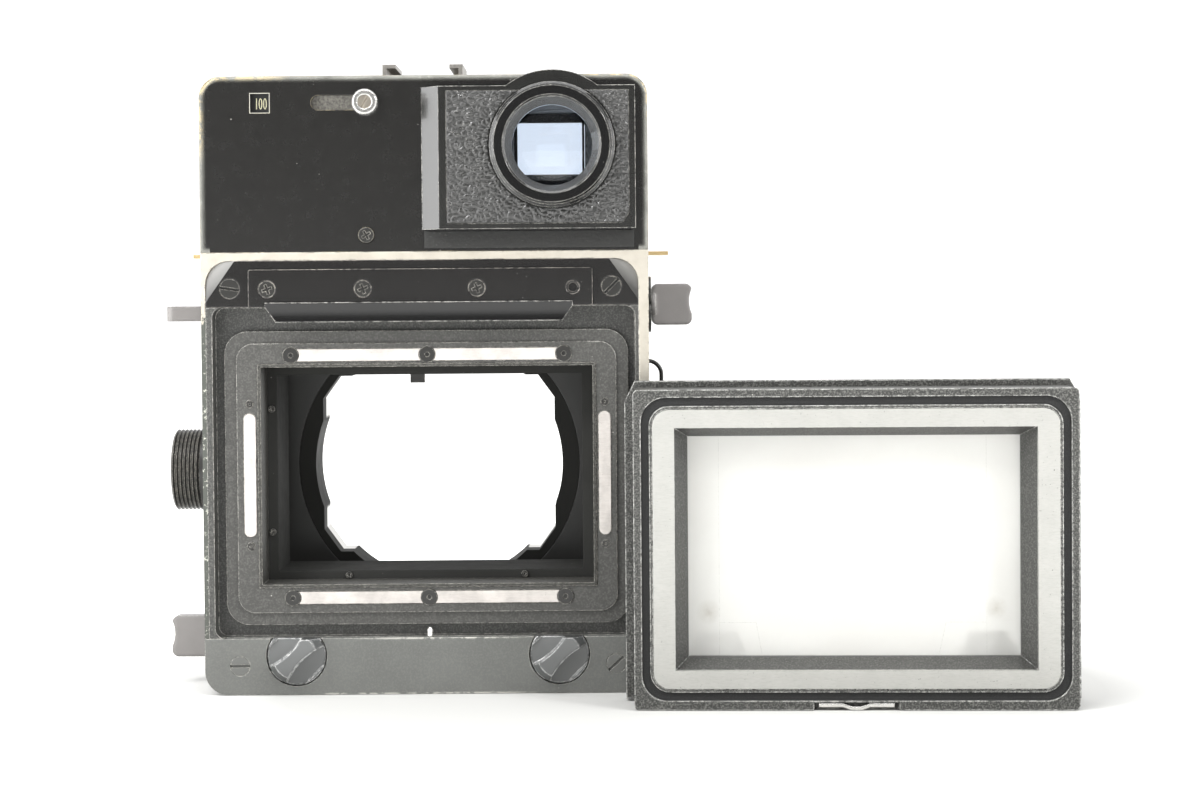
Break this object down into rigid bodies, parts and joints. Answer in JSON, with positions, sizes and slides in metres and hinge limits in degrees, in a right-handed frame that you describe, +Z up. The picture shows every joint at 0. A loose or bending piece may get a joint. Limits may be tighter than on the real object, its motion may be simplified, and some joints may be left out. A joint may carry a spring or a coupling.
{
  "type": "press camera",
  "caption": "Rangefinder press camera body for roll-film backs, open at the back, with its focusing-screen back standing beside it.",
  "frame": {"origin": "centre of the tripod socket's mouth, in the plane of the base", "axes": "+Z up, +Y out of the lens opening, -Y out of the magazine well, +X to the right as the viewer stands behind the camera"},
  "size_m": [0.2284, 0.0914, 0.1593],
  "materials": {
    "casting_black": "satin black enamel, worn at the edges",
    "gloss_black": "gloss black enamel, worn at the edges",
    "panel_black": "matt grey-black paint",
    "flat_black": "flat black, anti-reflection",
    "rim_chrome": "satin chrome, slightly yellowed",
    "steel": "bright steel",
    "black_steel": "blackened steel",
    "bare_aluminium": "bare, fine scratches",
    "brass": "plain",
    "leatherette": "pebbled black leatherette",
    "seal_felt": "black velvet light seal",
    "optical_glass": "coated",
    "frosted_glass": "finely ground",
    "mirror": "front silvered"
  },
  "bodies": {
    "camera_body": {"body_casting": "casting_black", "tripod_bush": "steel", "bottom_panel": "panel_black", "slotted_screws": "black_steel", "rear_rim": "rim_chrome", "upper_plate": "gloss_black", "retainer_plate": "gloss_black", "cross_screws": "black_steel", "rear_lip": "gloss_black", "seal_frame": "casting_black", "seal_pads": "bare_aluminium", "pad_studs": "black_steel", "locating_stud": "steel", "gate_frame": "flat_black", "chamber_baffle": "flat_black", "small_screws": "steel", "top_housing": "gloss_black", "accessory_shoe": "casting_black", "eyepiece_block": "gloss_black", "finder_leather": "leatherette", "side_leather": "leatherette", "front_leather": "leatherette", "eyepiece_ring": "gloss_black", "eyepiece_cone": "panel_black", "eyepiece_lens": "optical_glass", "finder_tube": "flat_black", "beam_splitter": "optical_glass", "finder_window": "optical_glass", "frameline_window": "frosted_glass", "rangefinder_window": "optical_glass", "finder_base": "brass", "mount_flange": "rim_chrome", "breech_retainer": "rim_chrome", "mount_screws": "steel", "grip_boss": "panel_black", "lug_flanges": "casting_black", "side_eyelets": "brass", "wire_loop": "black_steel", "follower_shaft": "steel"},
    "lock_left": {"lock_knob_left": "casting_black"},
    "lock_right": {"lock_knob_right": "casting_black"},
    "breech": {"breech_ring": "panel_black"},
    "frame_selector": {"number_slide": "flat_black", "selector_knob": "rim_chrome", "selector_screw": "steel"},
    "follower": {"follower_lever": "brass"},
    "mirror": {"mirror_carrier": "brass", "rangefinder_mirror": "mirror"},
    "lug_upper_left": {"strap_lug_upper_left": "casting_black"},
    "lug_upper_right": {"strap_lug_upper_right": "casting_black"},
    "lug_lower_left": {"strap_lug_lower_left": "casting_black"},
    "lug_lower_right": {"strap_lug_lower_right": "casting_black"},
    "screen_back": {"screen_casting": "casting_black", "screen_flange": "casting_black", "screen_seal": "seal_felt", "screen_face": "bare_aluminium", "screen_bevel": "flat_black", "ground_glass": "frosted_glass", "screen_clips": "steel", "screen_spring": "bare_aluminium"}
  },
  "joints": [
    {"name": "lock_left_turn", "type": "hinge", "parent": "camera_body", "child": "lock_left", "pos_m": [-0.033, -0.028, 0.0098], "axis": [0, 1, 0], "range_deg": [0, 90]},
    {"name": "lock_right_turn", "type": "hinge", "parent": "camera_body", "child": "lock_right", "pos_m": [0.033, -0.028, 0.0098], "axis": [0, 1, 0], "range_deg": [0, 90]},
    {"name": "breech_turn", "type": "hinge", "parent": "camera_body", "child": "breech", "pos_m": [0, 0.029, 0.0545], "axis": [0, 1, 0], "range_deg": [0, 40]},
    {"name": "selector_slide", "type": "slide", "parent": "camera_body", "child": "frame_selector", "axis": [-1, 0, 0], "range_m": [0, 0.01]},
    {"name": "follower_swing", "type": "hinge", "parent": "camera_body", "child": "follower", "pos_m": [-0.0054, 0.0162, 0.118], "axis": [-1, 0, 0], "range_deg": [0, 6], "stiffness_Nm_per_rad": 0.02, "springref_deg": -11.46},
    {"name": "mirror_turn", "type": "hinge", "parent": "camera_body", "child": "mirror", "pos_m": [-0.026, -0.003, 0.113], "axis": [0, 0, 1], "range_deg": [0, 3]},
    {"name": "lug_upper_left_swivel", "type": "hinge", "parent": "camera_body", "child": "lug_upper_left", "pos_m": [-0.056, -0.008, 0.0957], "axis": [-1, 0, 0], "continuous": true},
    {"name": "lug_upper_right_swivel", "type": "hinge", "parent": "camera_body", "child": "lug_upper_right", "pos_m": [0.056, -0.008, 0.0972], "axis": [1, 0, 0], "continuous": true},
    {"name": "lug_lower_left_swivel", "type": "hinge", "parent": "camera_body", "child": "lug_lower_left", "pos_m": [-0.056, -0.008, 0.0123], "axis": [-1, 0, 0], "continuous": true},
    {"name": "lug_lower_right_swivel", "type": "hinge", "parent": "camera_body", "child": "lug_lower_right", "pos_m": [0.056, -0.008, 0.0123], "axis": [1, 0, 0], "continuous": true},
    {"name": "screen_lift_off", "type": "slide", "parent": "camera_body", "child": "screen_back", "axis": [0, -1, 0], "range_m": [0, 0.06]}
  ],
  "couplings": [
    {"joint": "mirror_turn", "follows": "follower_swing", "ratio": 0.5}
  ]
}
